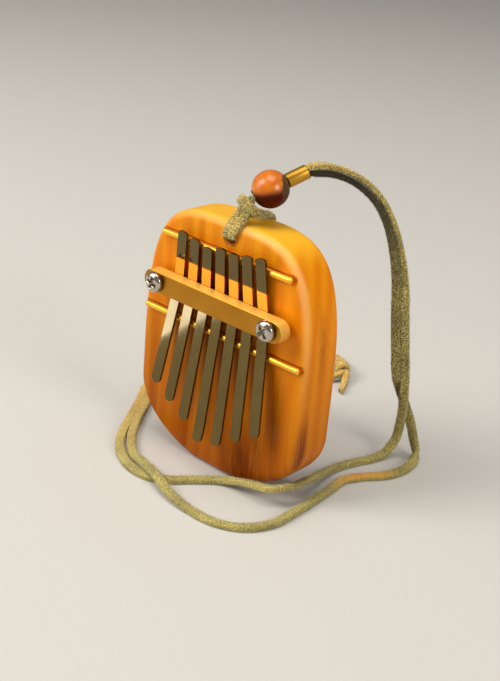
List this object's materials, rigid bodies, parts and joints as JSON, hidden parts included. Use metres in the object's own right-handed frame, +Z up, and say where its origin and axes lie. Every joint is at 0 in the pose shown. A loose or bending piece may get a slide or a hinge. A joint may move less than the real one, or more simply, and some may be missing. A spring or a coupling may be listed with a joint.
{
  "type": "kalimba",
  "caption": "Pocket thumb piano: rounded wooden body, steel tines clamped under a brass bar between two brass rods, hung on a folded suede lace with a bead and a ferrule.",
  "frame": {"origin": "middle of the flat foot under the body, on the surface it stands on", "axes": "+X to the right across the face with the tines, +Y from the face to the back, +Z up from the foot to the lace hole"},
  "size_m": [0.1108, 0.1318, 0.109],
  "materials": {
    "oiled_wood": "oiled satin, upright grain",
    "brass": "brushed",
    "ground_steel": "ground satin",
    "nickel_plate": "bright plated",
    "suede_lace": "napped suede",
    "polished_bead_wood": "polished"
  },
  "bodies": {
    "frame": {"body": "oiled_wood", "upper_bridge_rod": "brass", "lower_bridge_rod": "brass", "clamp_bar": "brass", "left_clamp_screw": "nickel_plate", "right_clamp_screw": "nickel_plate", "tine_1_root": "ground_steel", "tine_2_root": "ground_steel", "tine_3_root": "ground_steel", "tine_4_root": "ground_steel", "tine_5_root": "ground_steel", "tine_6_root": "ground_steel", "tine_7_root": "ground_steel", "ferrule": "brass", "cord_hitch": "suede_lace", "inner_strand": "suede_lace", "outer_strand": "suede_lace", "cord_knot": "suede_lace", "short_tail": "suede_lace", "long_tail": "suede_lace"},
    "tine_1": {"tine_1_tongue": "ground_steel"},
    "tine_2": {"tine_2_tongue": "ground_steel"},
    "tine_3": {"tine_3_tongue": "ground_steel"},
    "tine_4": {"tine_4_tongue": "ground_steel"},
    "tine_5": {"tine_5_tongue": "ground_steel"},
    "tine_6": {"tine_6_tongue": "ground_steel"},
    "tine_7": {"tine_7_tongue": "ground_steel"},
    "bead": {"bead": "polished_bead_wood"}
  },
  "joints": [
    {"name": "tine_1_pluck", "type": "hinge", "parent": "frame", "child": "tine_1", "pos_m": [-0.0204, -0.01085, 0.0505], "axis": [0.9937, 0, -0.1118], "range_deg": [-3, 5], "stiffness_Nm_per_rad": 8.49},
    {"name": "tine_2_pluck", "type": "hinge", "parent": "frame", "child": "tine_2", "pos_m": [-0.0136, -0.01085, 0.0505], "axis": [0.9972, 0, -0.0748], "range_deg": [-3, 5], "stiffness_Nm_per_rad": 7.32},
    {"name": "tine_3_pluck", "type": "hinge", "parent": "frame", "child": "tine_3", "pos_m": [-0.0068, -0.01085, 0.0505], "axis": [0.9993, 0, -0.0375], "range_deg": [-3, 5], "stiffness_Nm_per_rad": 6.43},
    {"name": "tine_4_pluck", "type": "hinge", "parent": "frame", "child": "tine_4", "pos_m": [0, -0.01085, 0.0505], "axis": [1, 0, 0], "range_deg": [-3, 5], "stiffness_Nm_per_rad": 5.66},
    {"name": "tine_5_pluck", "type": "hinge", "parent": "frame", "child": "tine_5", "pos_m": [0.0068, -0.01085, 0.0505], "axis": [0.9993, 0, 0.0375], "range_deg": [-3, 5], "stiffness_Nm_per_rad": 5.96},
    {"name": "tine_6_pluck", "type": "hinge", "parent": "frame", "child": "tine_6", "pos_m": [0.0136, -0.01085, 0.0505], "axis": [0.9972, 0, 0.0748], "range_deg": [-3, 5], "stiffness_Nm_per_rad": 6.89},
    {"name": "tine_7_pluck", "type": "hinge", "parent": "frame", "child": "tine_7", "pos_m": [0.0204, -0.01085, 0.0505], "axis": [0.9937, 0, 0.1118], "range_deg": [-3, 5], "stiffness_Nm_per_rad": 7.98},
    {"name": "bead_turn", "type": "hinge", "parent": "frame", "child": "bead", "pos_m": [0.00846, 0, 0.10078], "axis": [0.4609, 0.7685, 0.4439], "continuous": true}
  ]
}
